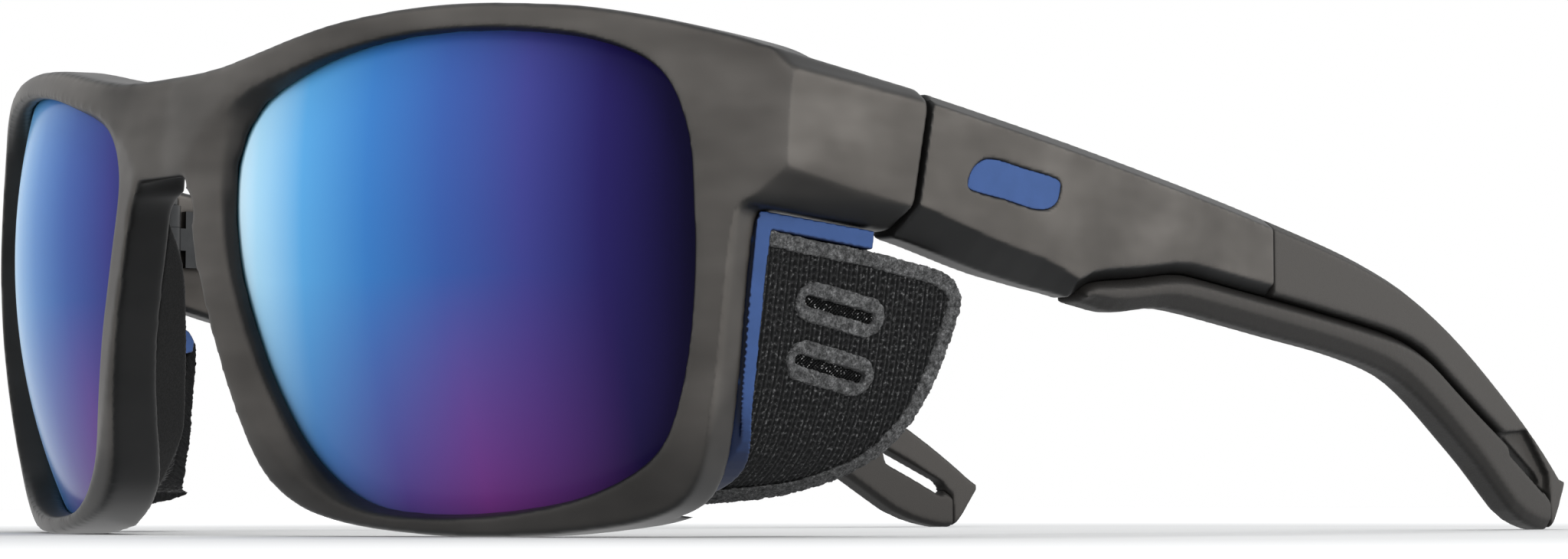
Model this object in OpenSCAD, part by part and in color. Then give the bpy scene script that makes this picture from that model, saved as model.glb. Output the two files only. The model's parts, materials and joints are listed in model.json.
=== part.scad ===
// Wraparound glacier sunglasses: mirrored lenses in a moulded frame, folding
// temples with rubber sleeves and clip-on fabric side shields. Millimetres,
// +Z up, wearer looks along -Y, wearer's left is +X. Built on a datum whose
// Y zero lies just behind the bridge, then moved so the bounding box is
// centred over the origin.

/* [Lens] */
// Radius of the lens front surface
lens_r = 70; // [55:1:120]
// Lens thickness
lens_t = 2; // [1.4:0.1:3]
// Sideways position of the lens sphere centre
lens_cx = 15.2; // [10:0.1:25]
// Depth of the lens sphere centre behind the datum
lens_cy = 65.9; // [50:0.1:110]
// Height of the lens centre above the resting plane
lens_z = 31; // [28:0.1:36]
// Wrap angle of each lens axis
wrap = 19.3; // [5:0.1:25]
// Depth of the groove that holds the lens edge
groove = 1; // [0.6:0.1:1.5]

/* [Front frame] */
// Radius of the front surface of the frame
front_r = 98.1; // [75:0.1:140]
// Sideways position of the front surface centre
front_cx = 7.5; // [0:0.1:15]
// Forward reach of the front surface ahead of the datum
front_reach = 6.8; // [4:0.1:10]
// Thickness of the lip behind the lens
back_lip = 0.8; // [0.5:0.1:1.5]
// Height of the arch over the nose
arch_z = 35.2; // [32:0.1:38]
// Angle by which the nose walls open towards the back
nose_flare = 10; // [0:1:20]

/* [Temples] */
// Outer face of the temple beside the hinge, from the middle
temple_x = 70.6; // [66:0.1:76]
// How strongly the temples bend inwards
inward = 0.0148; // [0:0.0001:0.03]
// Temple thickness at the hinge
temple_t0 = 6.3; // [4.5:0.1:8]
// Temple thickness behind the hinge
temple_t1 = 3.8; // [3:0.1:5]
// Where the rubber sleeve starts
sleeve_y = 87.2; // [80:1:100]
// Width of the seam between end piece and temple
seam_gap = 0.3; // [0.2:0.05:0.6]

/* [Hinge] */
// Distance of the hinge axis from the middle
hinge_x = 63.9; // [60:0.1:66]
// Depth of the hinge axis
hinge_y = 33.2; // [30:0.1:36]
// Knuckle radius
knuckle_r = 1.7; // [1.4:0.05:2.2]
// Screw shank radius
screw_r = 0.7; // [0.5:0.05:1]
// Radial running clearance of the screw in the knuckles
screw_fit = 0.05; // [0.02:0.01:0.1]
// Lower end of the knuckles
hinge_z0 = 31; // [30:0.1:33]
// Length of the three knuckles together
hinge_len = 8; // [6:0.1:10]

/* [Side shields] */
// Thickness of the fabric panel
fabric_t = 0.9; // [0.6:0.1:1.5]
// Thickness of the moulded clip
clip_t = 1.8; // [1.2:0.1:2.5]
// Width of the felt edge binding
bind_w = 1.4; // [1:0.1:2.5]
// Thickness of the felt edge binding
bind_t = 1.7; // [1:0.1:2.5]
// Length of each vent slot
vent_len = 8; // [6:0.1:10]
// Height of each vent slot
vent_h = 1.1; // [0.8:0.1:3]
// Clearance between clip and rim
clip_gap = 0.3; // [0.3:0.05:0.6]
// How far the shield flares outwards for each millimetre towards its rear
flare = 0.17; // [0:0.01:0.2]

/* [Hidden] */
rear_y = 152.6;
// behind the cord slot the sleeve closes the tip down to the ground
tip_y = 148.8;
shift = [0, -(rear_y - front_reach) / 2, 0];
front_cy = front_r - front_reach;
third = hinge_len / 3;
grey = [0.36, 0.35, 0.34];
dark = [0.2, 0.2, 0.2];
blue = [0.2, 0.33, 0.62];
felt = [0.4, 0.4, 0.4];
steel = [0.7, 0.7, 0.7];

// smooth curves through hand-set points
function cr(a, b, c, d, t) = 0.5 * (2 * b + (c - a) * t
    + (2 * a - 5 * b + 4 * c - d) * t * t + (3 * b - a - 3 * c + d) * t * t * t);
function closed(p, k) = let (n = len(p)) [for (i = [0:n - 1]) for (j = [0:k - 1])
    cr(p[(i + n - 1) % n], p[i], p[(i + 1) % n], p[(i + 2) % n], j / k)];
function open(p, k) = let (n = len(p)) concat([for (i = [0:n - 2]) for (j = [0:k - 1])
    cr(p[max(i - 1, 0)], p[i], p[i + 1], p[min(i + 2, n - 1)], j / k)], [p[n - 1]]);
function unit(v) = v / norm(v);
// a curve moved sideways by d, towards its left
function aside(p, d) = [for (i = [0:len(p) - 1])
    let (t = unit(p[min(i + 1, len(p) - 1)] - p[max(i - 1, 0)])) p[i] + d * [-t[1], t[0]]];
function back(p) = [for (i = [len(p) - 1:-1:0]) p[i]];
// outline grown by factor s about a point and moved along u
function grown(p, s, du = 0) = [for (q = p) [q[0] * s + du, (q[1] + 6) * s - 6]];

// lens outline as seen along the lens axis: u towards the temple, v up
lens_pts = [[26, 0], [25.5, 6], [23, 11.3], [17, 14.3], [9, 15.7], [0, 16], [-9, 15.2],
    [-17, 13.2], [-23.5, 10.2], [-26.6, 5], [-26.4, -3], [-24.3, -10], [-21.5, -17],
    [-17.5, -23.5], [-11.5, -27.6], [-3, -28.7], [7, -28.2], [15.5, -26.4], [21.5, -22.5],
    [24.5, -16], [25.6, -8]];
lens_line = closed(lens_pts, 4);
// the wall of the opening: its outline 1.8 above the lens, and further out
wall_mid = closed([[26.6, 0.1], [25.9, 6.2], [23.2, 11.5], [17.1, 14.5], [9.1, 15.9], [0, 16.3],
    [-9.1, 15.5], [-17.4, 13.8], [-25.6, 11], [-28.8, 5.3], [-27.6, -3], [-25.1, -10.2],
    [-21.9, -17.1], [-17.7, -23.6], [-11.6, -27.8], [-3, -29], [7.1, -28.5], [15.7, -26.6],
    [21.9, -22.8], [25, -16.2], [26.4, -8.1]], 4);
wall_far = closed([[27.4, 0.3], [26.6, 6.5], [23.6, 11.7], [17.3, 14.7], [9.2, 16.2], [0, 16.7],
    [-9.3, 15.8], [-18, 14.6], [-28.5, 12.6], [-36.5, 6.8], [-35.6, -3.6], [-32, -13],
    [-27, -21], [-20.4, -26], [-12.4, -28.6], [-3.1, -29.4], [7.2, -28.9], [15.9, -27],
    [22.5, -23.3], [25.7, -16.5], [27.4, -8.1]], 4);
// outer outline of the front, same view; the nose side is cut separately
rim_pts = [[-46, 15.1], [-36, 15], [-30, 15.1], [-24, 16], [-18.4, 17.1], [-13.2, 18], [-8.3, 18.5],
    [-3.7, 18.8], [0.8, 18.9], [5.9, 18.7], [10.9, 18.3], [15.6, 17.8], [22.4, 16.5], [29.6, 14.6],
    [33, 13.3], [34.6, 11.4], [34.7, 7], [34.3, 3], [32.6, 0.3], [31.1, -1.2], [30.5, -4],
    [29.6, -10.2], [28.8, -15], [27.6, -20.2], [26.4, -24], [25, -26.6], [23.2, -28.3], [20.7, -29.3],
    [17, -30.1], [9, -30.9], [0, -31], [-5.2, -30.7], [-10.5, -30.2], [-15.3, -29.4], [-20, -28.1],
    [-25, -26.4], [-31, -24], [-46, -18]];
rim_line = concat(open(rim_pts, 3), [[-46, 0]]);
// nose opening, seen along its own flare direction
nose_pts = [[-12, 35.2], [-4, 35.2], [0, 35.2], [3, 35.1], [5.4, 34.4], [6.6, 33], [7, 30.6],
    [7.8, 26.8], [9.3, 21.8], [11.2, 15.2], [13, 9], [14.6, 5.8], [16.6, 3.9], [19, 2.5],
    [22, 1.3], [26, 0], [32, -2]];
nose_line = concat(open(nose_pts, 3), [[32, -12], [-12, -12]]);

// temple side view: height of the top edge, the bottom edge and the rubber line
top_pts = [[12, 44.6], [20, 43.5], [27, 42.5], [34, 41.2], [42, 39.9], [54, 38], [65.7, 36.1],
    [78.4, 34], [89.2, 32.1], [100.8, 30], [108.5, 28.3], [115.3, 26.4], [121.5, 24], [127.7, 21.1],
    [135.3, 17], [142.9, 12.6], [148.6, 8.8], [152.6, 5.8]];
low_pts = [[28, 28.4], [34, 27.1], [42, 25.1], [47.9, 24], [52.9, 23.2], [56.8, 22.4], [59.8, 21.9],
    [62.7, 22], [67.6, 22.6], [72.6, 22.3], [79.4, 21.5], [89.2, 20.3], [98.9, 19.2], [107.6, 17.9],
    [113.4, 16.5], [119.1, 14.1], [125.8, 10.6], [131.5, 7.4], [136.3, 4.3], [139.6, 2.2],
    [142.9, 0.9], [146.7, 0.1], [149.3, 0.3], [150.9, 2.2], [152.6, 5]];
line_pts = [[54.8, 22.9], [57, 24.5], [64.7, 25.3], [70.6, 26], [74.5, 25.8], [83.3, 24.8],
    [91.1, 24], [98.9, 23.1], [106.6, 22.2], [113.4, 21.2], [119.1, 19.6], [124.9, 16.7],
    [130.6, 13.9], [137.2, 10.8], [143.9, 7.4], [149.5, 3.6]];
top_tab = open(top_pts, 4);
low_tab = open(low_pts, 4);
line_tab = open(line_pts, 4);
function z_top(y) = lookup(y, top_tab);
function z_low(y) = lookup(y, low_tab);
function z_line(y) = lookup(y, line_tab);
function out_x(y) = temple_x - inward * pow(max(y - 33, 0), 1.5);
function thick(y) = lookup(y, [[30, temple_t0], [42, temple_t0 - 0.4], [58, temple_t1],
    [100, 3.7], [128, 4.3], [142, 4], [152.6, 3]]);
// underside bevel: height and how far it cuts in
function bev_h(y) = lookup(y, [[30, 3.1], [50, 2.7], [57, 1.2], [90, 1.2], [152.6, 0.9]]);
function bev_x(y) = lookup(y, [[30, 3.2], [50, 2.4], [57, 1.2], [90, 1.2], [152.6, 0.8]]);

// side shield: section across the face, and the panel outline from the side
face_pts = [[65.8, 31], [65.4, 27.8], [64.9, 24.4], [64.3, 21], [63.6, 17.5], [62.7, 14],
    [61.5, 10.8], [59.8, 7.8], [57.6, 5.6], [55.2, 4.1], [52.6, 3.2], [50, 2.8]];
face_line = open(face_pts, 3);
panel_pts = [[17.9, 27.9], [23, 27.1], [28.9, 26.3], [33, 25.5], [35.9, 25], [37.6, 24.3],
    [38.6, 23.4], [39.2, 22.3], [39.1, 20.9], [38.5, 18.2], [37.8, 15.5], [37, 12.9], [36.1, 10.6],
    [34.9, 8.7], [33.4, 6.9], [31.4, 5.5], [29, 4.4], [26.2, 3.6], [21.5, 3.1], [16.4, 2.8]];
panel_edge = open(panel_pts, 3);
leg_pts = [[17.9, 27.9], [17.9, 20], [18.4, 12.8], [19.3, 9.4], [20.1, 7.2], [20.3, 5.6],
    [19.6, 4.2], [17.6, 2.9]];
leg_edge = open(leg_pts, 3);

slide = unit([0, 0.93, -0.37]);

// ---- helpers ----

// places a child built for the wearer's left; side -1 mirrors it
module on(side) {
    translate(shift) if (side > 0) children(); else mirror([1, 0, 0]) children();
}

// lens axis frame: local Z points out through the lens centre
module lens_axis() {
    translate([lens_cx, lens_cy, lens_z]) rotate([90, 0, wrap]) children();
}

module ball(r) {
    sphere(r = r, $fn = 240);
}

// a tube of rings, all with the same number of points
module loft(rings) {
    n = len(rings[0]);
    m = len(rings);
    polyhedron([for (r = rings) each r], concat(
        [[for (i = [0:n - 1]) i]],
        [for (k = [0:m - 2]) for (i = [0:n - 1]) let (a = k * n + i, b = k * n + (i + 1) % n)
            each [[a, a + n, b], [b, a + n, b + n]]],
        [[for (i = [n - 1:-1:0]) (m - 1) * n + i]]));
}

// prism of an outline given in the side view (y, z), right across X
module across(outline, x0 = 30, x1 = 90) {
    translate([x0, 0, 0]) rotate([90, 0, 90]) linear_extrude(x1 - x0) polygon(outline);
}

// ---- front ----

// opening from the lens surface to the frame's front, with its bevel by the nose
module opening_flare() {
    n = len(lens_line);
    function ring(line, r) = [for (q = line) [q[0], q[1], sqrt(pow(r, 2) - q * q)]];
    polyhedron(concat(ring(lens_line, lens_r - 0.1), ring(wall_mid, lens_r + 1.8),
        ring(wall_far, lens_r + 4.5), [[0, -6, lens_r - 0.3], [0, -6, lens_r + 12]]), concat(
        [for (i = [0:n - 1]) [i, (i + 1) % n, 3 * n]],
        [for (k = [0, n]) for (i = [0:n - 1]) let (j = (i + 1) % n)
            each [[k + j, k + i, k + n + i], [k + n + j, k + j, k + n + i]]],
        [for (i = [0:n - 1]) [2 * n + (i + 1) % n, 2 * n + i, 3 * n + 1]]));
}

// moulded end piece between rim and hinge
module end_block() {
    s = seam_gap;
    a = [[62.9, 45.6], [68, 45.6], [70, 43.3], [70.1, 34.9], [66.8, 30.6], [62.9, 30.9]];
    b = [[64, 41.6], [68.6, 41.6], [temple_x, 40.1], [temple_x, 30.4], [67.3, 28.1], [64, 28.1]];
    loft([[for (q = a) [q[0], 9, q[1]]],
        [for (q = b) [q[0], 33.9 - s - 0.195 * (41.2 - q[1]), q[1]]]]);
}

module hinge_room(extra = 0.3) {
    translate([hinge_x, hinge_y, hinge_z0 - 1.3])
        cylinder(r = knuckle_r + extra, h = hinge_len + 2.6, $fn = 48);
}

// rim seen along the lens axis, grown by d; its back edge is stepped for the shield
module rim_body(d) {
    lens_axis() difference() {
        translate([0, 0, 30]) linear_extrude(50) polygon(aside(rim_line, d));
        ball(lens_r - lens_t - back_lip - d);
        intersection() {
            difference() {
                ball(lens_r - 0.2 - d);
                translate([0, 0, 30]) linear_extrude(50) polygon(aside(rim_line, d - 1.9));
            }
            translate([10, -29, 30]) cube([40, 27.5, 50]);
        }
    }
}

module shell_half() {
    intersection() {
        rim_body(0);
        translate([0, -40, -5]) cube([90, 90, 70]);
    }
}

module front_half() {
    difference() {
        intersection() {
            union() {
                shell_half();
                end_block();
            }
            translate([front_cx, front_cy, lens_z]) ball(front_r);
        }
        rotate([0, 0, -nose_flare]) rotate([90, 0, 0]) translate([0, 0, -40])
            linear_extrude(80) polygon(nose_line);
        lens_axis() {
            translate([0, 0, 40]) linear_extrude(45) polygon(grown(lens_line, 0.97));
            opening_flare();
            intersection() {
                difference() {
                    ball(lens_r + 0.08);
                    ball(lens_r - lens_t - 0.08);
                }
                translate([0, 0, 40]) linear_extrude(45)
                    polygon(grown(lens_line, 1 + (groove + 0.2) / 24));
            }
        }
        hinge_room();
        leaf_plate();
        catch_blade(0);
        // underside of the bridge, rising towards the face
        translate([0, -7.2, 35.2]) rotate([16, 0, 0]) translate([-10, 0, -12]) cube([14.6, 20, 12]);
        peg_rows(0.1, 3);
    }
}

module front_frame() {
    color(grey) translate(shift) {
        front_half();
        mirror([1, 0, 0]) front_half();
    }
}

module lens(side) {
    color(blue) on(side) lens_axis() intersection() {
        difference() {
            ball(lens_r);
            ball(lens_r - lens_t);
        }
        translate([0, 0, 40]) linear_extrude(45) polygon(grown(lens_line, 1 + groove / 24));
    }
}

// nose pad: inner edge and rear edge of its face at each height
pad_rows = [[35.4, [3.6, -4.6], [4.6, -3.4], [7, -2.8], [8, -4.4]],
    [33, [5.6, -4.5], [7, -1.3], [9.4, -1], [10.5, -3.4]],
    [28, [7, -4.5], [9.3, 2.1], [11.8, 2.1], [12.4, -3]],
    [22, [8.7, -4.5], [11.6, 4], [14.2, 3.8], [14.5, -3]],
    [16, [10.8, -4], [14.2, 5.6], [16.9, 5.4], [17, -2.5]],
    [11, [12.6, -3.5], [16.2, 6.6], [18.8, 6.2], [19, -2]],
    [7.6, [14, -3], [17.4, 5.9], [19.8, 5.5], [20.4, -1.5]],
    [5, [15.8, -2.6], [18.6, 5.1], [21, 4.7], [22, -1]],
    [2.6, [17.6, -2.2], [20, 3.8], [22.4, 3.6], [23.4, -0.6]]];

module nose_pad(side) {
    rows = [for (r = pad_rows) [for (k = [1:4]) [r[k][0], r[k][1], r[0]]]];
    cols = [for (k = [0:3]) open([for (r = rows) r[k]], 3)];
    color(dark) on(side) intersection() {
        loft([for (i = [0:len(cols[0]) - 1]) [for (k = [0:3]) cols[k][i]]]);
        lens_axis() ball(lens_r - lens_t - back_lip - 0.02);
        rotate([0, 0, -nose_flare]) translate([7, -20, 2.6]) cube([40, 60, 40]);
    }
}

// catch beside the shield's arm; its head shows on top of the end piece
module catch_blade(d = 0.01) {
    translate([65.2 + d, 27.2 + d, 34 + d]) cube([1.4 - 2 * d, 3.4 - 2 * d, 7.5]);
    across([[27.2 + d, 40.8 + d], [32.4 - d, 40.8 + d], [32.4 - d, 42.2], [27.2 + d, 43.1]],
        65.2 + d, 66.6 - d);
}

module shield_catch(side) {
    color(blue) on(side) catch_blade();
}

// ---- hinge ----

// plate let into the inner face of the end piece
module leaf_plate() {
    translate([62.8, 24.5, hinge_z0]) cube([1.9, hinge_y - 24.5, hinge_len]);
}

module knuckles(z0, z1) {
    translate([hinge_x, hinge_y, z0]) cylinder(r = knuckle_r, h = z1 - z0, $fn = 48);
}

module screw_bore(r) {
    translate([hinge_x, hinge_y, hinge_z0 - 3]) cylinder(r = r, h = hinge_len + 6, $fn = 48);
}

module hinge_leaf_front(side) {
    color(steel) on(side) difference() {
        union() {
            leaf_plate();
            knuckles(hinge_z0, hinge_z0 + third);
            knuckles(hinge_z0 + 2 * third, hinge_z0 + hinge_len);
        }
        translate([hinge_x, hinge_y, hinge_z0 + third - 0.05])
            cylinder(r = knuckle_r + 0.3, h = third + 0.1, $fn = 48);
        screw_bore(screw_r + screw_fit);
    }
}

module temple_plate() {
    translate([63.4, hinge_y, hinge_z0 + third]) cube([1.3, 5, third]);
    translate([63.4, hinge_y + 2.4, hinge_z0 + 0.6]) cube([1.3, 7, hinge_len - 1.2]);
}

module hinge_leaf_temple(side) {
    color(steel) on(side) difference() {
        union() {
            difference() {
                temple_plate();
                translate([hinge_x, hinge_y, hinge_z0 - 1])
                    cylinder(r = knuckle_r + 0.3, h = third + 1, $fn = 48);
                translate([hinge_x, hinge_y, hinge_z0 + 2 * third])
                    cylinder(r = knuckle_r + 0.3, h = third + 1, $fn = 48);
            }
            knuckles(hinge_z0 + third, hinge_z0 + 2 * third);
        }
        screw_bore(screw_r + screw_fit);
    }
}

module hinge_screw(side) {
    color(steel) on(side) translate([hinge_x, hinge_y, 0]) difference() {
        union() {
            translate([0, 0, hinge_z0 - 0.2]) cylinder(r = screw_r, h = hinge_len + 0.4, $fn = 48);
            translate([0, 0, hinge_z0 + hinge_len + 0.1]) cylinder(r = 1.3, h = 0.7, $fn = 48);
        }
        translate([-0.2, -2, hinge_z0 + hinge_len + 0.5]) cube([0.4, 4, 1]);
    }
}

// ---- temples ----

// cross-section of the temple at depth y between two heights
function section(y, lo, hi, bh, bx) = let (x = out_x(y), t = thick(y), h = hi - lo,
    c = min(1.2, h * 0.3), b = min(bh, h * 0.45), e = min(0.6, h * 0.2))
    [[x, y, hi - c], [x, y, lo + b], [x - bx, y, lo], [x - t + e, y, lo],
    [x - t, y, lo + e], [x - t, y, hi - e], [x - t + e, y, hi], [x - 1.7, y, hi]];

function arm_low(y) = y < 55.2 ? z_low(y) : z_line(y);

module behind_seam() {
    translate([0, 33.9, 41.2]) rotate([-atan(0.195), 0, 0]) translate([0, 0, -30])
        cube([100, 80, 60]);
}

module core_bar(y0, y1, d = 0) {
    loft([for (y = [y0:5:y1]) let (x = out_x(y) - thick(y) / 2, w = 0.6 + d, h = 1.1 + d,
        z = (z_top(y) * 0.45 + max(z_low(y), z_line(y)) * 0.55))
        [[x + w, y, z + h], [x + w, y, z - h], [x - w, y, z - h], [x - w, y, z + h]]]);
}

// generic slanted inlay shape in the side view
badge_line = closed([[38.2, 33], [39.2, 34.7], [41.5, 35.5], [46, 34.9], [50.8, 34.2], [51.5, 33.3],
    [50.6, 31.6], [48, 31], [43.4, 31.7], [38.9, 32.3]], 4);

module badge_slab(d0, d1) {
    loft([for (y = [36:2:54]) let (x = out_x(y))
        [[x + d1, y, 37], [x + d1, y, 29.5], [x - d0, y, 29.5], [x - d0, y, 37]]]);
}

module arm_loft() {
    ys = concat([28, 31, 34, 37, 40, 43, 46, 49, 52, 54.2, 55.4, 56.4, 57.4, 59],
        [for (y = [61.5:2.7:86]) y], [sleeve_y]);
    loft([for (y = ys) section(y, arm_low(y), z_top(y), bev_h(y), bev_x(y))]);
}

module temple_arm(side) {
    color(grey) on(side) difference() {
        intersection() {
            arm_loft();
            behind_seam();
        }
        hinge_room();
        temple_plate();
        intersection() {
            badge_slab(0.6, 2);
            across(badge_line);
        }
        core_bar(61, 96, 0.03);
    }
}

module temple_badge(side) {
    color(blue) on(side) intersection() {
        badge_slab(0.6, -0.15);
        across(badge_line);
    }
}

// through slot for a retention cord, with a shallow recess on its outer side
module slot_room() {
    across([[137.4, 10], [137.9, 8.5], [146.5, 4.2], [147.4, 4.4], [147.6, 5.4], [146.9, 6.2],
        [138.6, 10.4], [137.8, 10.5]], 30, 80);
    difference() {
        across([[136.6, 11], [142.6, 11.4], [148.3, 6.4], [148.6, 4.4], [147.6, 3.9]], 30, 80);
        loft([for (y = [130:2:152]) let (x = out_x(y) - 1.1)
            [[x, y, 20], [x, y, -4], [x - 12, y, -4], [x - 12, y, 20]]]);
    }
}

module temple_sleeve(side) {
    ys = concat([sleeve_y, 89], [for (y = [91:3:145]) y], [146.5, 147.6, tip_y - 0.1, tip_y,
        149.6, 150.4, 151.2, 151.9, rear_y]);
    color(dark) on(side) difference() {
        loft([for (y = ys) section(y, min(y < tip_y ? z_line(y) : z_low(y), z_top(y) - 0.8),
            z_top(y), 0.5, 0.4)]);
        core_bar(61, 131, 0.03);
        slot_room();
    }
}

module temple_grip(side) {
    ys = concat([55.3, 56, 57, 58.5, 60], [for (y = [62:2.5:142]) y], [144, 146, 147.4, tip_y - 0.2]);
    color(dark) on(side) difference() {
        loft([for (y = ys) section(y, z_low(y), max(z_line(y) - 0.1, z_low(y) + 0.12),
            bev_h(y) * 1.4, bev_x(y))]);
        slot_room();
    }
}

module temple_core(side) {
    color(steel) on(side) core_bar(61, 131);
}

// ---- side shields ----

// sheet that follows the shield's curved face, d0 inside to d1 outside it
module face_sheet(d0, d1) {
    multmatrix([[1, flare, 0, -16 * flare], [0, 1, 0, 0], [0, 0, 1, 0]])
        rotate([90, 0, 0]) translate([0, 0, -60]) linear_extrude(60)
            polygon(concat(aside(face_line, d1), back(aside(face_line, -d0))));
}

// pegs that plug into the back of the rim, along the direction of removal
module peg_rows(d = 0, lead = 0) {
    for (p = [[63.9, 17.2, 26.9], [61.5, 17.2, 14.1]])
        translate(p) rotate([atan2(slide[1], -slide[2]), 0, 0])
            translate([0, 0, -lead]) cylinder(r = 0.4 + d, h = 2.6 + lead + 2 * d, $fn = 32);
}

module shield_clip(side) {
    outline = concat([[16.2, 29.7], [28.9, 28.2], [28.9, 26.45]], leg_edge, [[11, 2.7], [11, 20]]);
    rib = [[16.6, 28.4], [28, 26.6], [36, 25], [38, 24.1], [38.7, 22.9], [38.3, 21.6], [37, 21.3],
        [35.6, 22.4], [28, 23.9], [16.6, 25.4]];
    color(blue) on(side) {
        difference() {
            union() {
                intersection() {
                    face_sheet(clip_t, 0);
                    across(outline);
                    across([[9, 2.6], [40, 2.6], [40, 32], [16.2, 32], [16.2, 9.6], [9, 9.6]]);
                }
                intersection() {
                    face_sheet(clip_t + 0.5, 0);
                    across(rib);
                    union() {
                        face_sheet(clip_t + 0.5, -clip_t / 2 - bind_t / 2 - 0.02);
                        across([[10, 24], [17.85, 24], [17.85, 30], [10, 30]]);
                    }
                }
            }
            rim_body(clip_gap);
        }
        peg_rows();
    }
}

function oval(cy, cz, slope, len, h) = let (a = atan(slope), r = h / 2, d = len / 2 - r)
    [for (k = [0:23]) let (t = k * 15 + 7.5, s = cos(t) > 0 ? d : -d, p = [s + r * cos(t), r * sin(t)])
        [cy + p[0] * cos(a) - p[1] * sin(a), cz + p[0] * sin(a) + p[1] * cos(a)]];
vents = [[26.2, 20.9, -0.215], [26, 15.5, -0.225]];

module shield_fabric(side) {
    color(dark) on(side) difference() {
        intersection() {
            face_sheet(clip_t / 2 + fabric_t / 2, fabric_t / 2 - clip_t / 2);
            across(concat(leg_edge, [[10, -5], [80, -5], [80, 40], [18.2, 40]]));
            across(concat(aside(panel_edge, -bind_w), [[0, 4.2], [0, 26.5]]));
        }
        for (v = vents) across(oval(v[0], v[1], v[2], vent_len + 1.7, vent_h + 2.6));
        rim_body(clip_gap);
    }
}

module shield_binding(side) {
    color(felt) on(side) difference() {
        intersection() {
            face_sheet(clip_t / 2 + bind_t / 2, bind_t / 2 - clip_t / 2);
            across(concat(panel_edge, back(aside(panel_edge, -bind_w))));
            across(concat(leg_edge, [[10, -5], [80, -5], [80, 40], [18.2, 40]]));
        }
        rim_body(clip_gap);
    }
}

module vent_binding(side) {
    color(felt) on(side) intersection() {
        face_sheet(clip_t / 2 + bind_t / 2, bind_t / 2 - clip_t / 2);
        for (v = vents) difference() {
            across(oval(v[0], v[1], v[2], vent_len + 1.7, vent_h + 2.6));
            across(oval(v[0], v[1], v[2], vent_len, vent_h), 20, 95);
        }
    }
}

module vent_mesh(side) {
    color(dark) on(side) intersection() {
        face_sheet(clip_t / 2 + 0.15, 0.15 - clip_t / 2);
        for (v = vents) across(oval(v[0], v[1], v[2], vent_len, vent_h));
    }
}

front_frame();
lens(1);  // lens_left
lens(-1);  // lens_right
nose_pad(1);  // nose_pad_left
nose_pad(-1);  // nose_pad_right
shield_catch(1);  // shield_catch_left
shield_catch(-1);  // shield_catch_right
hinge_leaf_front(1);  // hinge_leaf_front_left
hinge_leaf_front(-1);  // hinge_leaf_front_right
hinge_screw(1);  // hinge_screw_left
hinge_screw(-1);  // hinge_screw_right
temple_arm(1);  // temple_arm_left
temple_arm(-1);  // temple_arm_right
temple_sleeve(1);  // temple_sleeve_left
temple_sleeve(-1);  // temple_sleeve_right
temple_grip(1);  // temple_grip_left
temple_grip(-1);  // temple_grip_right
temple_badge(1);  // temple_badge_left
temple_badge(-1);  // temple_badge_right
temple_core(1);  // temple_core_left
temple_core(-1);  // temple_core_right
hinge_leaf_temple(1);  // hinge_leaf_temple_left
hinge_leaf_temple(-1);  // hinge_leaf_temple_right
shield_clip(1);  // shield_clip_left
shield_clip(-1);  // shield_clip_right
shield_fabric(1);  // shield_fabric_left
shield_fabric(-1);  // shield_fabric_right
shield_binding(1);  // shield_binding_left
shield_binding(-1);  // shield_binding_right
vent_binding(1);  // vent_binding_left
vent_binding(-1);  // vent_binding_right
vent_mesh(1);  // vent_mesh_left
vent_mesh(-1);  // vent_mesh_right
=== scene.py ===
"""Looks for the glacier glasses: coloured lenses, smoky moulded frame, rubber temples, knit shields.

Every length is in metres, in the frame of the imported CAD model: +X is the wearer's left, +Y runs
from the lenses back along the temples and +Z is up.
"""
import json
import math

import bpy
import numpy as np
from mathutils import Matrix, Vector, geometry, noise
from mathutils.bvhtree import BVHTree

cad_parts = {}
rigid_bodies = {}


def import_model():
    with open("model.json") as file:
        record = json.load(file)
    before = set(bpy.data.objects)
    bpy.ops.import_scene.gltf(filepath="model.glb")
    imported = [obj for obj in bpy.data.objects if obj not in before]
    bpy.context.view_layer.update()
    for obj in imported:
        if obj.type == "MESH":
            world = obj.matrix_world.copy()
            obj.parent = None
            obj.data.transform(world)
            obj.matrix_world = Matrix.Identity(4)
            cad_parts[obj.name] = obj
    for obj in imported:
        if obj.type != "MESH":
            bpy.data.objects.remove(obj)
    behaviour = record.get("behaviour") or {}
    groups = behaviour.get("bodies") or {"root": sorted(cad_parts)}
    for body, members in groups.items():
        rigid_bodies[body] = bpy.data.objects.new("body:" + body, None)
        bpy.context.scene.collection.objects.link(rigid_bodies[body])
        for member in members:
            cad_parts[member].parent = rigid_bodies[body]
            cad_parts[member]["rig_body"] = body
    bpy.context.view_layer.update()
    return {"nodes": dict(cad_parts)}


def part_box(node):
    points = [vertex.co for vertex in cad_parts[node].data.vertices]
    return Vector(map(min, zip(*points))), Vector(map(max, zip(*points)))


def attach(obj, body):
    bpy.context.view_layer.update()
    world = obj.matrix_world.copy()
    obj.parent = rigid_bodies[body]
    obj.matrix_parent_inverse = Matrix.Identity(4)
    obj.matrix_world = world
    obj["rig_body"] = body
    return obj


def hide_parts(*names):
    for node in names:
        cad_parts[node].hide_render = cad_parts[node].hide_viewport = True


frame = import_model()

MM = 0.001
SIDES = {"left": 1, "right": -1}
BLACK, WHITE = (0, 0, 0), (1, 1, 1)
OUTSIDE = 0.2  # a distance from the middle that lies beyond every piece

# Camera: the place where it stands, its turn in degrees and its lens in mm
CAMERA_AT = (0.3207, -0.27325, 0.0028)
CAMERA_TURN = (93.507, 0.1, 49.25)
CAMERA_LENS = 85.05
VIEW_AWAY = (-0.757, 0.653, 0.0)  # the way the camera looks, laid level

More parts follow.
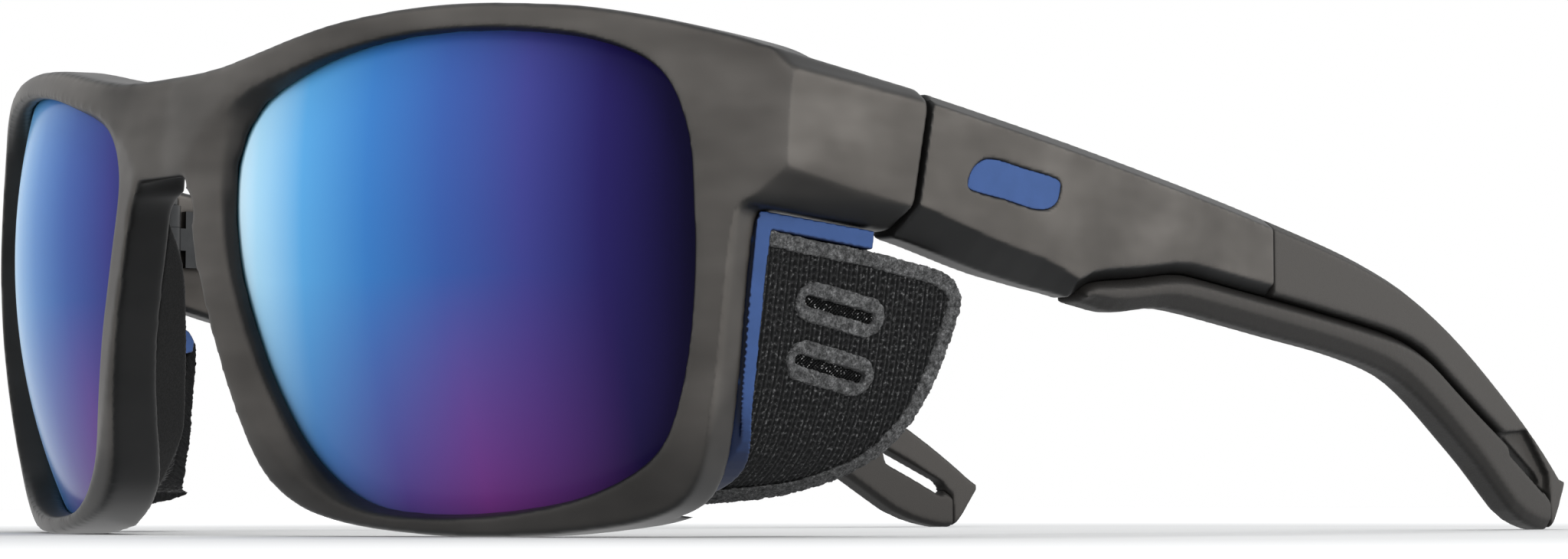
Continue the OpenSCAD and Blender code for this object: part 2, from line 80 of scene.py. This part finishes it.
# Left lens: radius of its front face's sphere, turn of its axis and middle of that sphere
LENS_RADIUS = 70 * MM
LENS_WRAP = math.radians(19.3)
LENS_MIDDLE = Vector((15.2 * MM, -7 * MM, 31 * MM))
LENS_THICK = 2 * MM
LENS_DROP = 6 * MM  # how far the middle of the lens's outline lies below its axis
LENS_BEVEL = 0.004  # share by which its outermost ring is drawn in

# The right lens's run of colours, partly painted reflection, is turned round and drawn out, which suits
# the camera's view only
RIGHT_REFLECTION_RUN = 0.75
RIGHT_REFLECTION_BEND = 1.4

# Front of the frame: middle of the sphere that its front face follows
FRONT_MIDDLE = Vector((7.5 * MM, 18.4 * MM, 31 * MM))

# Side shield
FLARE = 0.17  # how far it flares for each metre towards its rear
COLUMN = 1.06 * MM  # width of one column of stitches
STITCH = 0.72 * MM  # height of one stitch
CELL = 0.115 * MM  # fineness of the knit sheet
YARN = 0.17 * MM  # how far its stitches stand out
BACKING = 0.5 * MM  # how far its back lies behind the CAD panel's outer face
TUCK = 0.45 * MM  # how far it reaches past the CAD panel, under the binding
MARGIN = 0.6 * MM  # spare sheet round the panel before it is trimmed
THREAD_PITCH = 0.36 * MM  # from one thread of the vents' net to the next, front to back
THREAD_HALF = 0.055 * MM  # half a thread's width
THREAD_STEP = 0.1 * MM  # rise from one point of a thread to the next


# ---- meshes ----

def new_object(name, verts, faces, smooth=True):
    """A mesh object from lists of corners and faces."""
    mesh = bpy.data.meshes.new(name)
    mesh.from_pydata([tuple(v) for v in verts], [], [tuple(f) for f in faces])
    mesh.validate()
    mesh.update()
    mesh.polygons.foreach_set("use_smooth", [smooth] * len(mesh.polygons))
    obj = bpy.data.objects.new(name, mesh)
    bpy.context.scene.collection.objects.link(obj)
    return obj


def points_of(obj):
    """The corners of an object's mesh as an array."""
    flat = np.empty(len(obj.data.vertices) * 3)
    obj.data.vertices.foreach_get("co", flat)
    return flat.reshape(-1, 3)


def set_points(obj, points):
    """Puts the corners of an object's mesh at these places."""
    obj.data.vertices.foreach_set("co", np.asarray(points, np.float32).ravel())
    obj.data.update()


def normals_of(obj):
    """The vertex normals of an object's mesh as an array."""
    flat = np.empty(len(obj.data.vertices) * 3)
    obj.data.vertex_normals.foreach_get("vector", flat)
    return flat.reshape(-1, 3)


def write_attribute(obj, name, values):
    """Stores one number for every corner of a mesh, for its material to read."""
    attribute = obj.data.attributes.new(name, "FLOAT", "POINT")
    attribute.data.foreach_set("value", np.asarray(values, np.float32))


def ease(values, low, high):
    """Runs smoothly from 0 at low to 1 at high."""
    share = np.clip((values - low) / (high - low), 0, 1)
    return share * share * (3 - 2 * share)


def applied(obj):
    """Replaces an object's mesh with the same mesh after its modifiers."""
    bpy.context.view_layer.update()
    done = bpy.data.meshes.new_from_object(obj.evaluated_get(bpy.context.evaluated_depsgraph_get()))
    obj.modifiers.clear()
    obj.data = done


def solid_of(node):
    """The CAD node's solid, ready for rays and nearest points."""
    mesh = frame["nodes"][node].data
    return BVHTree.FromPolygons([v.co.copy() for v in mesh.vertices],
                                [tuple(f.vertices) for f in mesh.polygons])


def outer_point(solid, side, y, z):
    """Where a level line from outside first meets the solid, or None."""
    return solid.ray_cast(Vector((side * OUTSIDE, y, z)), Vector((-side, 0, 0)))[0]


def moulded(node, slot, material, voxel, soften, swell=0.0):
    """The CAD node's solid with its edges rounded, in the node's place; voxel and swell are in mm."""
    mesh = frame["nodes"][node].data.copy()
    mesh.materials.clear()
    mesh.transform(Matrix.Scale(1000, 4))
    obj = bpy.data.objects.new(node + "_look", mesh)
    bpy.context.scene.collection.objects.link(obj)
    cells = obj.modifiers.new("cells", "REMESH")
    cells.mode = "VOXEL"
    cells.voxel_size = voxel
    rounding = obj.modifiers.new("rounding", "SMOOTH")
    rounding.factor = 0.5
    rounding.iterations = soften
    applied(obj)
    obj.data.transform(Matrix.Scale(MM, 4))
    obj.data.polygons.foreach_set("use_smooth", [True] * len(obj.data.polygons))
    if swell:
        set_points(obj, points_of(obj) + normals_of(obj) * swell * MM)
    return dressed(obj, node, material)


def dressed(obj, node, material):
    """Gives a piece its material, puts it on the body of the node that it stands for and hides that node.
    """
    obj.data.materials.append(material)
    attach(obj, frame["nodes"][node]["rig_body"])
    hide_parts(node)
    return obj


def roughened(obj, height, size, seed=0):
    """Moves every corner in or out by smooth noise, as felt and cut edges are uneven."""
    points = points_of(obj)
    shift = Vector((7.31, 3.17, 0)) * seed
    amount = np.array([noise.noise(Vector(p) / size + shift) + 0.6 * noise.noise(Vector(p) / size * 2.7)
                       for p in points])
    set_points(obj, points + normals_of(obj) * amount[:, None] * height)
    return obj


def paint_front_light_and_shade(obj):
    """Paints light on the front face and the end pieces' outer faces and shade on the walls between, as an
    attribute for the material.
    """
    points, normals = points_of(obj), normals_of(obj)
    side = np.where(points[:, 0] < 0, -1, 1)
    local = points * np.stack([side, np.ones(len(points)), np.ones(len(points))], 1)
    outward = local - np.array(FRONT_MIDDLE)
    outward /= np.linalg.norm(outward, axis=1)[:, None]
    facing = normals.copy()
    facing[:, 0] *= side
    # painted light on the front face, the end pieces' outer faces and, weaker, the rims' outer walls
    front = ease((facing * outward).sum(1), 0.55, 0.93) * 0.62
    outer = ease(facing[:, 0], 0.8, 0.97) * ease(local[:, 0], 60 * MM, 64 * MM)
    rim = 0.45 * ease(facing[:, 0], 0.55, 0.9) * ease(local[:, 0], 50 * MM, 58 * MM)
    # bevels that look up or down, and the rims' feet, get painted shade
    bevel_shade = 1 - 0.75 * ease(np.abs(facing[:, 2]), 0.35, 0.75)
    foot_shade = 0.4 + 0.6 * ease(points[:, 2], 3 * MM, 13 * MM)
    write_attribute(obj, "painted_light", np.clip(np.maximum.reduce([front, outer, rim]) * bevel_shade * foot_shade, 0, 1))


def paint_side_light_and_shade(obj):
    """Paints light on a piece's faces that look sideways and shade on its bevels and edges, as an
    attribute for the material.
    """
    normals = normals_of(obj)
    flat = ease(np.abs(normals[:, 0]), 0.72, 0.95)
    bevel_shade = 1 - 0.55 * ease(np.abs(normals[:, 2]), 0.25, 0.6)
    write_attribute(obj, "painted_light", np.clip(flat * bevel_shade, 0, 1))


def paint_trim_inner_shade(obj):
    """Paints shade on the inner face of a shield's trim, the face towards the head, and leaves the face
    away from the head unshaded.
    """
    side = 1 if points_of(obj)[:, 0].mean() > 0 else -1
    write_attribute(obj, "painted_light", ease(normals_of(obj)[:, 0] * side, -0.35, 0.15))


# ---- materials ----

class Nodes:
    """A material and short ways to add shader nodes to it."""

    def __init__(self, name, **settings):
        self.material = bpy.data.materials.new(name)
        self.material.use_nodes = True
        self.tree = self.material.node_tree
        self.shader = self.tree.nodes["Principled BSDF"]
        self.set(**settings)
        self.place = self.add("ShaderNodeTexCoord").outputs["Object"]

    def set(self, **settings):
        for key, value in settings.items():
            self.shader.inputs[key.replace("_", " ")].default_value = value

    def add(self, kind, inputs=None, **settings):
        node = self.tree.nodes.new(kind)
        for key, value in settings.items():
            setattr(node, key, value)
        for key, value in (inputs or {}).items():
            self.feed(node.inputs[key], value)
        return node

    def feed(self, socket, value):
        if isinstance(value, bpy.types.NodeSocket):
            self.tree.links.new(value, socket)
        else:
            socket.default_value = value

    def attribute(self, name):
        return self.add("ShaderNodeAttribute", attribute_name=name).outputs["Fac"]

    def noise(self, scale, detail=4, roughness=0.55, place=None):
        return self.add("ShaderNodeTexNoise", {"Vector": place or self.place, "Scale": scale,
                                               "Detail": detail, "Roughness": roughness}).outputs["Fac"]

    def ramp(self, value, stops):
        node = self.add("ShaderNodeValToRGB", {"Fac": value})
        ramp = node.color_ramp
        while len(ramp.elements) < len(stops):
            ramp.elements.new(1)
        for element, (position, colour) in zip(ramp.elements, stops):
            element.position = position
            element.color = (*colour, 1)
        return node.outputs["Color"]

    def math(self, operation, *values):
        node = self.add("ShaderNodeMath", operation=operation)
        for socket, value in zip(node.inputs, values):
            self.feed(socket, value)
        return node.outputs[0]

    def mix(self, factor, a, b):
        node = self.add("ShaderNodeMix", data_type="RGBA")
        self.feed(node.inputs[0], factor)
        self.feed(node.inputs[6], a if isinstance(a, bpy.types.NodeSocket) else (*a, 1))
        self.feed(node.inputs[7], b if isinstance(b, bpy.types.NodeSocket) else (*b, 1))
        return node.outputs[2]

    def colour(self, value):
        self.feed(self.shader.inputs["Base Color"], value)

    def rough(self, value):
        self.feed(self.shader.inputs["Roughness"], value)

    def bump(self, height, strength, distance):
        node = self.add("ShaderNodeBump", {"Height": height, "Strength": strength, "Distance": distance})
        self.tree.links.new(node.outputs["Normal"], self.shader.inputs["Normal"])


def grey(value, warm=0.0):
    """A grey, a little warm where asked, as linear colour."""
    return (value * (1 + warm), value, value * (1 - warm))


def smoky_plastic():
    """Satin smoky plastic, cloudy, with painted light on the broad faces and dark painted shade on walls
    and bevels.
    """
    m = Nodes("smoky_plastic", Roughness=0.42, Specular_IOR_Level=0.25)
    painted_light = m.attribute("painted_light")
    clouds = m.noise(60, 3, 0.55)
    drawn_out = m.add("ShaderNodeMapping", {"Vector": m.place, "Scale": (60, 90, 240)}).outputs[0]
    streaks = m.noise(1, 2, 0.5, drawn_out)
    both = m.math("ADD", m.math("MULTIPLY", clouds, 0.65), m.math("MULTIPLY", streaks, 0.35))
    # lit and shaded greys of the same plastic: painted light and painted shade
    light = m.ramp(both, [(0.34, grey(0.05, 0.11)), (0.5, grey(0.08, 0.1)), (0.66, grey(0.125, 0.09))])
    dark = m.ramp(both, [(0.35, grey(0.004, 0.03)), (0.65, grey(0.013, 0.03))])
    m.colour(m.mix(painted_light, dark, light))
    m.bump(m.noise(5200, 2), 0.08, 0.00004)
    return m.material


def coating_and_painted_reflection():
    """A mirror coating's colours mixed with a painted reflection, run across the lens, violet below; a
    smoky brown inner face.
    """
    m = Nodes("coating_and_painted_reflection", Roughness=0.2, IOR=1.15)
    across = m.attribute("across")
    down = m.attribute("down")
    edge = m.attribute("edge")
    # across the face: the coating's own colours and a painted reflection together
    upper = m.ramp(across, [
        (0.0, (0.6, 0.78, 0.87)), (0.07, (0.33, 0.58, 0.76)), (0.2, (0.085, 0.31, 0.6)),
        (0.36, (0.036, 0.16, 0.43)), (0.52, (0.034, 0.085, 0.3)), (0.68, (0.038, 0.042, 0.2)),
        (0.82, (0.016, 0.012, 0.085)), (0.93, (0.007, 0.005, 0.035)), (1.0, (0.004, 0.003, 0.02))])
    lower = m.ramp(across, [
        (0.0, (0.2, 0.43, 0.66)), (0.18, (0.065, 0.17, 0.43)), (0.38, (0.1, 0.06, 0.27)),
        (0.55, (0.17, 0.04, 0.23)), (0.7, (0.09, 0.026, 0.15)), (0.85, (0.016, 0.01, 0.055)),
        (1.0, (0.006, 0.004, 0.022))])
    face = m.mix(m.ramp(down, [(0.5, BLACK), (0.96, WHITE)]), upper, lower)
    coated = m.mix(m.ramp(edge, [(0.965, BLACK), (0.985, WHITE)]), face, (0.04, 0.14, 0.19))
    inside = m.attribute("inside")
    m.colour(m.mix(inside, coated, grey(0.012, 0.3)))
    return m.material


def satin_blue():
    """Satin blue plastic, dark on its edges with painted shade."""
    m = Nodes("satin_blue", Roughness=0.4, Specular_IOR_Level=0.3)
    painted_light = m.attribute("painted_light")
    broad = m.mix(m.noise(500, 2), (0.03, 0.068, 0.19), (0.042, 0.09, 0.25))
    # the edges get near-black painted shade
    m.colour(m.mix(painted_light, (0.006, 0.014, 0.05), broad))
    m.bump(m.noise(6000, 2), 0.06, 0.00003)
    return m.material


def soft_rubber(name, dark, light, grain=7000):
    """Matt rubber with painted light, so paler on its broad sides than on its edges and underside."""
    m = Nodes(name, Roughness=0.62, Specular_IOR_Level=0.25)
    painted_light = m.attribute("painted_light")
    speck = m.noise(grain, 3, 0.7)
    # painted light on the broad sides and painted shade on edges and underside, times a random speck; dark
    # is the shaded grey, light the lit grey
    broad = m.math("ADD", m.math("MULTIPLY", painted_light, 0.85), 0.15)
    shade = m.math("MULTIPLY", broad, m.math("ADD", speck, 0.5))
    m.colour(m.mix(shade, grey(dark, 0.08), grey(light, 0.08)))
    m.rough(m.ramp(speck, [(0.3, grey(0.5)), (0.7, grey(0.72))]))
    m.bump(speck, 0.35, 0.00008)
    return m.material


def steel():
    """Dull dark steel of the hinges and core wires."""
    m = Nodes("hinge_steel", Metallic=1.0)
    cloudy = m.noise(400, 3)
    m.colour(m.mix(cloudy, grey(0.07), grey(0.14)))
    m.rough(m.ramp(cloudy, [(0.3, grey(0.3)), (0.7, grey(0.42))]))
    return m.material


def knit_yarn():
    """Near-black yarn with painted shade in the hollows between its stitches, so their tops look a little
    paler, flecked with loose fibres.
    """
    m = Nodes("knit_yarn", Roughness=0.95)
    height = m.attribute("yarn")
    fibre = m.noise(9000, 3, 0.7)
    fleck = m.ramp(m.noise(3600, 3, 0.7), [(0.55, BLACK), (0.68, WHITE)])
    # painted shade: darker in the hollows between stitches than on their tops
    shaded_yarn = m.ramp(height, [(0.15, grey(0.0015)), (0.6, grey(0.009)), (1.0, grey(0.03))])
    m.colour(m.mix(m.math("MULTIPLY", fleck, m.math("MULTIPLY", height, 0.75)), shaded_yarn, grey(0.24)))
    m.bump(fibre, 0.4, 0.0001)
    return m.material


def felt():
    """Heather-grey felted tape, light grey and dark fibres run together; its inner face is painted
    near-black as shade.
    """
    m = Nodes("felt", Roughness=0.97)
    fibre = m.noise(4200, 5, 0.8)
    patch = m.noise(1500, 3, 0.6)
    both = m.math("ADD", m.math("MULTIPLY", fibre, 0.65), m.math("MULTIPLY", patch, 0.35))
    outside = m.attribute("painted_light")
    heather = m.ramp(both, [(0.38, grey(0.012)), (0.47, grey(0.055)), (0.55, grey(0.12)),
                            (0.66, grey(0.3))])
    # the inner face, towards the head, gets near-black painted shade
    m.colour(m.mix(outside, grey(0.006), heather))
    m.bump(fibre, 0.8, 0.00018)
    return m.material


def mesh_thread():
    """Near-black net with painted glints here and there on its threads."""
    m = Nodes("mesh_thread", Roughness=0.4, Specular_IOR_Level=0.3)
    # painted glints on the threads
    painted_glint = m.ramp(m.noise(4200, 1), [(0.64, BLACK), (0.7, WHITE)])
    m.colour(m.mix(painted_glint, grey(0.006), grey(0.55)))
    return m.material


def floor_with_painted_glow():
    """Paper, mid grey near the glasses; further out it is nearly white and glows faintly, as painted
    light.
    """
    m = Nodes("floor_with_painted_glow", Roughness=0.7, Specular_IOR_Level=0.0, Emission_Color=(*WHITE, 1))
    away = m.add("ShaderNodeVectorMath", {"Vector": m.place}, operation="LENGTH").outputs["Value"]
    m.colour(m.ramp(away, [(0.12, grey(0.4)), (0.5, grey(0.95))]))
    # painted light: the floor glows further out
    m.feed(m.shader.inputs["Emission Strength"], m.ramp(away, [(0.2, BLACK), (0.9, grey(0.4))]))
    return m.material


# ---- lenses ----

def lens_axes(side):
    """Middle of the lens's sphere and its across, up and outward directions."""
    middle = Vector((side * LENS_MIDDLE.x, LENS_MIDDLE.y, LENS_MIDDLE.z))
    out = Vector((side * math.sin(LENS_WRAP), -math.cos(LENS_WRAP), 0))
    across = Vector((side * math.cos(LENS_WRAP), math.sin(LENS_WRAP), 0))
    return middle, across, Vector((0, 0, 1)), out


def lens_outline(node, side, count=240):
    """Edge of the CAD lens as distances from a point inside it, at even angles round it."""
    middle, across, up = lens_axes(side)[:3]
    points = points_of(frame["nodes"][node]) - np.array(middle)
    flat = np.stack([points @ np.array(across), points @ np.array(up) + LENS_DROP], 1)
    hull = flat[geometry.convex_hull_2d([Vector(p) for p in flat])]
    steps = np.linspace(0, 1, 40, endpoint=False)[:, None]
    edge = np.concatenate([a + (b - a) * steps for a, b in zip(hull, np.roll(hull, -1, 0))])
    angle, reach = np.arctan2(edge[:, 1], edge[:, 0]), np.hypot(edge[:, 0], edge[:, 1])
    order = np.argsort(angle)
    at = np.linspace(-math.pi, math.pi, count, endpoint=False)
    return at, np.interp(at, angle[order], reach[order], period=2 * math.pi)


def make_lens(side_name, material):
    """A closed lens on two spheres, finely divided, with a rounded edge."""
    side, node = SIDES[side_name], "lens_" + side_name
    middle, across, up, out = (np.array(v) for v in lens_axes(side))
    angle, reach = lens_outline(node, side)
    # even rings over most of the face and closer ones near its edge
    rings = np.concatenate([np.linspace(0, 0.9, 34)[1:], np.linspace(0.91, 1, 7)])
    count, verts = len(angle), []
    for radius in (LENS_RADIUS, LENS_RADIUS - LENS_THICK):
        for ring in rings:
            shrink = 1 - LENS_BEVEL * (ring == 1)
            u = ring * shrink * reach * np.cos(angle)
            v = ring * shrink * reach * np.sin(angle) - LENS_DROP
            depth = np.sqrt(radius ** 2 - u ** 2 - v ** 2)
            verts.append(middle + np.outer(u, across) + np.outer(v, up) + np.outer(depth, out))
        depth = math.sqrt(radius ** 2 - LENS_DROP ** 2)
        verts.append((middle - LENS_DROP * up + depth * out)[None])
    verts = np.concatenate(verts)
    layer = len(rings) * count + 1
    faces = []
    for start, flip in ((0, side < 0), (layer, side > 0)):
        for r in range(len(rings) - 1):
            for i in range(count):
                j = (i + 1) % count
                a, b = start + r * count + i, start + r * count + j
                quad = (a, a + count, b + count, b)
                faces.append(quad if flip else quad[::-1])
        for i in range(count):
            tri = (start + layer - 1, start + i, start + (i + 1) % count)
            faces.append(tri if flip else tri[::-1])
    for i in range(count):
        a, b = (len(rings) - 1) * count + i, (len(rings) - 1) * count + (i + 1) % count
        quad = (a, b, layer + b, layer + a)
        faces.append(quad if side > 0 else quad[::-1])
    obj = new_object(node + "_look", verts, faces)
    local = verts - middle
    low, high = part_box(node)
    u, v = local @ across, local @ up
    share = (u - u.min()) / (u.max() - u.min())
    # the run of colours across the lens is partly painted reflection, flipped and drawn out on the right
    # lens for the camera's view
    write_attribute(obj, "across", share if side > 0 else RIGHT_REFLECTION_RUN * (1 - share) ** RIGHT_REFLECTION_BEND)
    write_attribute(obj, "down", (high.z - verts[:, 2]) / (high.z - low.z))
    ring_of = np.append(np.repeat(rings, count), 0)
    write_attribute(obj, "edge", np.concatenate([ring_of, ring_of]))
    write_attribute(obj, "inside", np.repeat([0.0, 1.0], layer))
    return dressed(obj, node, material)


# ---- side shields ----

def stitches(y, s):
    """Height of the knit: paired upright cords joined by a loop in every stitch."""
    column = np.mod(y / COLUMN, 1)
    offset = np.abs(column - 0.5)
    wobble = 0.12 * np.sin(s / STITCH * 0.9 + np.floor(y / COLUMN) * 2.1)
    rise = np.mod(s / STITCH + offset * 0.9 + wobble, 1)
    cord = np.exp(-((offset - 0.29) / 0.11) ** 2) * (0.62 + 0.38 * np.sin(rise * math.pi))
    loop = 0.72 * np.exp(-((rise - 0.5) / 0.2) ** 2) * (offset < 0.29)
    return np.maximum(cord, loop)


def panel_line(solid, side, low, high):
    """The panel's face as a line: how far out it lies at each height, with the flare taken off."""
    line = []
    for z in np.arange(low.z + 0.1 * MM, high.z - 0.1 * MM, 0.2 * MM):
        for y in np.linspace(low.y, high.y, 15):
            hit = outer_point(solid, side, y, z)
            if hit:
                line.append((side * hit.x - FLARE * y, z))
                break
    return np.array(line)


def sheet_faces(inside, side):
    """Faces of the front, the back and the cut edges of a sheet's cells that lie inside its outline."""
    rows, cols = inside.shape
    cell = inside[:-1, :-1] & inside[1:, :-1] & inside[:-1, 1:] & inside[1:, 1:]
    index = np.arange(rows * cols).reshape(rows, cols)
    i, j = np.nonzero(cell)
    quads = np.stack([index[i, j], index[i + 1, j], index[i + 1, j + 1], index[i, j + 1]], 1)
    if side < 0:
        quads = quads[:, ::-1]
    # an edge that two cells share is met once each way, so what stays is the sheet's outline
    edges = {}
    for quad in quads.tolist():
        for a, b in zip(quad, quad[1:] + quad[:1]):
            if edges.pop((b, a), None) is None:
                edges[(a, b)] = True
    layer = rows * cols
    walls = np.array([(b, a, a + layer, b + layer) for a, b in edges])
    return np.concatenate([quads, quads[:, ::-1] + layer, walls]), len(quads)


def make_knit(side_name, material):
    """The knit panel as one closed sheet with raised stitches, trimmed to the CAD panel's outline."""
    node, side = "shield_fabric_" + side_name, SIDES[side_name]
    solid = solid_of(node)
    low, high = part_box(node)
    line = panel_line(solid, side, low, high)
    run = np.concatenate([[0], np.cumsum(np.hypot(*np.diff(line, axis=0).T))])
    at_s = np.arange(-MARGIN, run[-1] + MARGIN, CELL)
    x_of = np.interp(at_s, run, line[:, 0])
    z_of = np.interp(at_s, run, line[:, 1])
    for past, end, inner in ((at_s < 0, 0, 1), (at_s > run[-1], -1, -2)):
        step = (line[end] - line[inner]) / abs(run[end] - run[inner])
        away = np.where(past, np.abs(at_s - run[end]), 0)
        x_of, z_of = x_of + away * step[0], z_of + away * step[1]
    at_y = np.arange(low.y - MARGIN, high.y + MARGIN, CELL)
    y_grid, s_grid = np.meshgrid(at_y, at_s, indexing="ij")
    x_grid = side * (x_of[None] + FLARE * y_grid)
    z_grid = np.broadcast_to(z_of[None], y_grid.shape)
    slope = np.stack([np.gradient(z_of, at_s), -np.gradient(x_of, at_s)], 1)
    inside = np.array([solid.find_nearest(Vector(p), TUCK)[0] is not None
                       for p in zip(x_grid.ravel(), y_grid.ravel(), z_grid.ravel())]).reshape(y_grid.shape)
    height = stitches(y_grid - 0.5 * (low.y + high.y), s_grid)
    rough = 0.12 * np.array([noise.noise(Vector((y, s, 0)) / (0.35 * MM))
                             for y, s in zip(y_grid.ravel(), s_grid.ravel())]).reshape(y_grid.shape)
    height = np.clip(height + rough, 0, 1)
    face = np.stack([x_grid + side * slope[None, :, 0] * height * YARN, y_grid,
                     z_grid + slope[None, :, 1] * height * YARN], -1)
    behind = np.stack([x_grid - side * slope[None, :, 0] * BACKING, y_grid,
                       z_grid - slope[None, :, 1] * BACKING], -1)
    faces, cells = sheet_faces(inside, side)
    used, faces = np.unique(faces, return_inverse=True)
    verts = np.concatenate([face.reshape(-1, 3), behind.reshape(-1, 3)])[used]
    obj = new_object(node + "_look", verts, faces.reshape(-1, 4))
    write_attribute(obj, "yarn", np.concatenate([height.ravel(), np.zeros(height.size)])[used])
    size = (np.ptp(y_grid[inside]), np.ptp(s_grid[inside]))
    return dressed(obj, node, material), size, cells * CELL ** 2


def make_net(side_name, material):
    """Crossed threads over each vent, on the outside of the dark gauze behind them."""
    node, side = "vent_mesh_" + side_name, SIDES[side_name]
    solid = solid_of(node)
    low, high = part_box(node)
    verts, faces = [], []

    def add_thread(points, along):
        across = along.cross(Vector((1, 0, 0))).normalized() * THREAD_HALF
        out = Vector((THREAD_HALF, 0, 0))
        start = len(verts)
        verts.extend(p + c for p in points for c in (across, out, -across, -out))
        for k in range(start, len(verts) - 4, 4):
            faces.extend((k + c, k + (c + 1) % 4, k + 4 + (c + 1) % 4, k + 4 + c) for c in range(4))
        faces.append((start + 3, start + 2, start + 1, start))
        faces.append((len(verts) - 4, len(verts) - 3, len(verts) - 2, len(verts) - 1))

    width, height = high.y - low.y, high.z - low.z
    for turn in (1, -1):
        for k in range(int((width + height) / THREAD_PITCH)):
            run = []
            for step in np.arange(0, height, THREAD_STEP):
                y = low.y - height + k * THREAD_PITCH + step
                z = low.z + step if turn > 0 else high.z - step
                hit = outer_point(solid, side, y, z)
                if hit:
                    run.append(hit + Vector((side * (0.08 + 0.04 * turn) * MM, 0, 0)))
                if run and (not hit or step + THREAD_STEP >= height):
                    if len(run) > 2:
                        add_thread(run, Vector((0, 1, turn)))
                    run = []
    obj = new_object(node + "_net", verts, faces)
    obj.data.materials.append(material)
    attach(obj, frame["nodes"][node]["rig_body"])


# ---- stage ----

def make_stage():
    """A wide floor under the glasses."""
    half = 3.0
    corners = [(-half, -half, 0), (half, -half, 0), (half, half, 0), (-half, half, 0)]
    floor = new_object("floor", corners, [(0, 1, 2, 3)], smooth=False)
    floor.data.materials.append(floor_with_painted_glow())
    floor.visible_glossy = False


def make_camera():
    """The camera, in the place solved from the photo."""
    camera = bpy.data.objects.new("camera", bpy.data.cameras.new("camera"))
    bpy.context.scene.collection.objects.link(camera)
    camera.location = CAMERA_AT
    camera.rotation_euler = [math.radians(a) for a in CAMERA_TURN]
    camera.data.lens = CAMERA_LENS
    camera.data.clip_start = 0.01
    bpy.context.scene.camera = camera


def area_light(name, at, toward, size, power):
    """A soft white lamp that lights the pieces but isn't mirrored in them."""
    lamp = bpy.data.lights.new(name, "AREA")
    lamp.shape = "RECTANGLE"
    lamp.size, lamp.size_y = size
    lamp.energy = power
    obj = bpy.data.objects.new(name, lamp)
    obj.location = at
    obj.rotation_euler = (Vector(toward) - Vector(at)).to_track_quat("-Z", "Y").to_euler()
    obj.visible_glossy = False
    bpy.context.scene.collection.objects.link(obj)


def make_lights():
    """A white backdrop behind the glasses, a dimmer room before them and three soft lamps."""
    world = bpy.data.worlds.new("studio")
    world.use_nodes = True
    tree = world.node_tree
    place = tree.nodes.new("ShaderNodeTexCoord")
    dot = tree.nodes.new("ShaderNodeVectorMath")
    dot.operation = "DOT_PRODUCT"
    dot.inputs[1].default_value = VIEW_AWAY
    ramp = tree.nodes.new("ShaderNodeValToRGB")
    room, backdrop = ramp.color_ramp.elements
    room.position, room.color = 0.35, (0.62, 0.64, 0.66, 1)
    backdrop.position, backdrop.color = 0.75, (*WHITE, 1)
    tree.links.new(place.outputs["Generated"], dot.inputs[0])
    tree.links.new(dot.outputs["Value"], ramp.inputs["Fac"])
    tree.links.new(ramp.outputs["Color"], tree.nodes["Background"].inputs["Color"])
    tree.nodes["Background"].inputs["Strength"].default_value = 1.0
    bpy.context.scene.world = world
    area_light("overhead", at=(0.0, 0.05, 0.7), toward=(0, 0, 0.02), size=(0.9, 0.7), power=7.5)
    area_light("side", at=(0.6, -0.1, 0.3), toward=(0.05, 0.03, 0.03), size=(0.4, 0.4), power=2.2)
    area_light("front", at=(-0.15, -0.7, 0.3), toward=(0, 0, 0.025), size=(0.5, 0.4), power=2.0)


# ---- build ----

make_camera()
plastic, blue, metal = smoky_plastic(), satin_blue(), steel()
sleeve_rubber = soft_rubber("sleeve_rubber", dark=0.012, light=0.064)
grip_rubber = soft_rubber("grip_rubber", dark=0.01, light=0.052)
pad_rubber = soft_rubber("pad_rubber", dark=0.003, light=0.008, grain=5000)
coating, yarn, grey_felt, thread = coating_and_painted_reflection(), knit_yarn(), felt(), mesh_thread()

# temple and shield pieces: slot, material, voxel in mm, rounds of smoothing and swell in mm
SIDE_PIECES = {
    "temple_arm_": ("frame_plastic", plastic, 0.24, 5, 0),
    "temple_sleeve_": ("sleeve_rubber", sleeve_rubber, 0.24, 5, 0),
    "temple_grip_": ("grip_rubber", grip_rubber, 0.24, 6, 0.12),
    "temple_badge_": ("blue_plastic", blue, 0.1, 4, 0),
    "shield_clip_": ("blue_plastic", blue, 0.14, 8, 0),
    "shield_catch_": ("blue_plastic", blue, 0.14, 3, 0),
}

paint_front_light_and_shade(moulded("front_frame", "frame_plastic", plastic, voxel=0.26, soften=50))
for side_name in SIDES:
    make_lens(side_name, coating)
    moulded("nose_pad_" + side_name, "pad_rubber", pad_rubber, voxel=0.2, soften=8)
    for name, looks in SIDE_PIECES.items():
        paint_side_light_and_shade(moulded(name + side_name, *looks))
    binding = moulded("shield_binding_" + side_name, "felt_binding", grey_felt, voxel=0.13, soften=5)
    paint_trim_inner_shade(roughened(binding, height=0.13 * MM, size=0.55 * MM))
    rings = moulded("vent_binding_" + side_name, "felt_binding", grey_felt, voxel=0.12, soften=5)
    paint_trim_inner_shade(roughened(rings, height=0.11 * MM, size=0.5 * MM, seed=1))
    knit, size, area = make_knit(side_name, yarn)
    make_net(side_name, thread)
    for node in ("hinge_leaf_front_", "hinge_leaf_temple_", "hinge_screw_", "temple_core_"):
        frame["nodes"][node + side_name].data.materials.clear()
        frame["nodes"][node + side_name].data.materials.append(metal)
    gauze = frame["nodes"]["vent_mesh_" + side_name]
    gauze.data.materials.clear()
    gauze.data.materials.append(yarn)

make_stage()
make_lights()
bpy.context.scene.view_settings.view_transform = "Standard"
